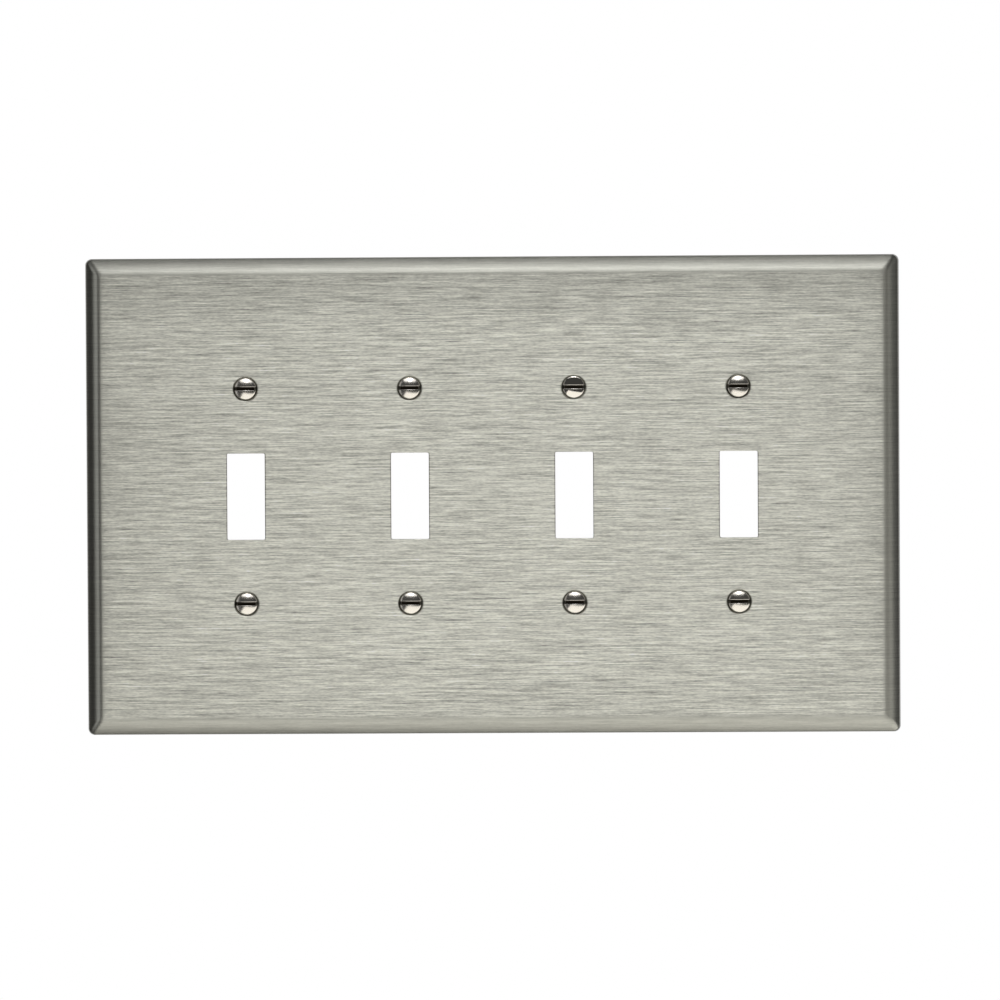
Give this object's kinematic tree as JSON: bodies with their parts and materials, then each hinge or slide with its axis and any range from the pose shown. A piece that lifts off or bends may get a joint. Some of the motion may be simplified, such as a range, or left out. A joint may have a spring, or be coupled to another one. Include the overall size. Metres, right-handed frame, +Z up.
{
  "type": "toggle switch wall plate",
  "caption": "Oversize multi-gang wall plate in brushed stainless steel with toggle openings, rolled edges, pressed screw dimples and slotted oval-head screws.",
  "frame": {"origin": "middle of the wall plane that the plate's rim rests on", "axes": "+X along the row of gangs, +Y into the wall, +Z up; the face looks along -Y"},
  "size_m": [0.2286, 0.0137, 0.134],
  "materials": {
    "brushed_stainless": "stainless steel brushed along the plate's length, smoother on the rolled edge",
    "polished_screw": "bright nickel plated steel, polished crown, darker slot and thread"
  },
  "bodies": {
    "plate": {"wall_plate": "brushed_stainless"},
    "top_screw_1": {"top_screw_1": "polished_screw"},
    "top_screw_2": {"top_screw_2": "polished_screw"},
    "top_screw_3": {"top_screw_3": "polished_screw"},
    "top_screw_4": {"top_screw_4": "polished_screw"},
    "bottom_screw_1": {"bottom_screw_1": "polished_screw"},
    "bottom_screw_2": {"bottom_screw_2": "polished_screw"},
    "bottom_screw_3": {"bottom_screw_3": "polished_screw"},
    "bottom_screw_4": {"bottom_screw_4": "polished_screw"}
  },
  "joints": [
    {"name": "top_screw_1_travel", "type": "slide", "parent": "plate", "child": "top_screw_1", "axis": [0, -1, 0], "range_m": [0, 0.0127]},
    {"name": "top_screw_2_travel", "type": "slide", "parent": "plate", "child": "top_screw_2", "axis": [0, -1, 0], "range_m": [0, 0.0127]},
    {"name": "top_screw_3_travel", "type": "slide", "parent": "plate", "child": "top_screw_3", "axis": [0, -1, 0], "range_m": [0, 0.0127]},
    {"name": "top_screw_4_travel", "type": "slide", "parent": "plate", "child": "top_screw_4", "axis": [0, -1, 0], "range_m": [0, 0.0127]},
    {"name": "bottom_screw_1_travel", "type": "slide", "parent": "plate", "child": "bottom_screw_1", "axis": [0, -1, 0], "range_m": [0, 0.0127]},
    {"name": "bottom_screw_2_travel", "type": "slide", "parent": "plate", "child": "bottom_screw_2", "axis": [0, -1, 0], "range_m": [0, 0.0127]},
    {"name": "bottom_screw_3_travel", "type": "slide", "parent": "plate", "child": "bottom_screw_3", "axis": [0, -1, 0], "range_m": [0, 0.0127]},
    {"name": "bottom_screw_4_travel", "type": "slide", "parent": "plate", "child": "bottom_screw_4", "axis": [0, -1, 0], "range_m": [0, 0.0127]}
  ]
}
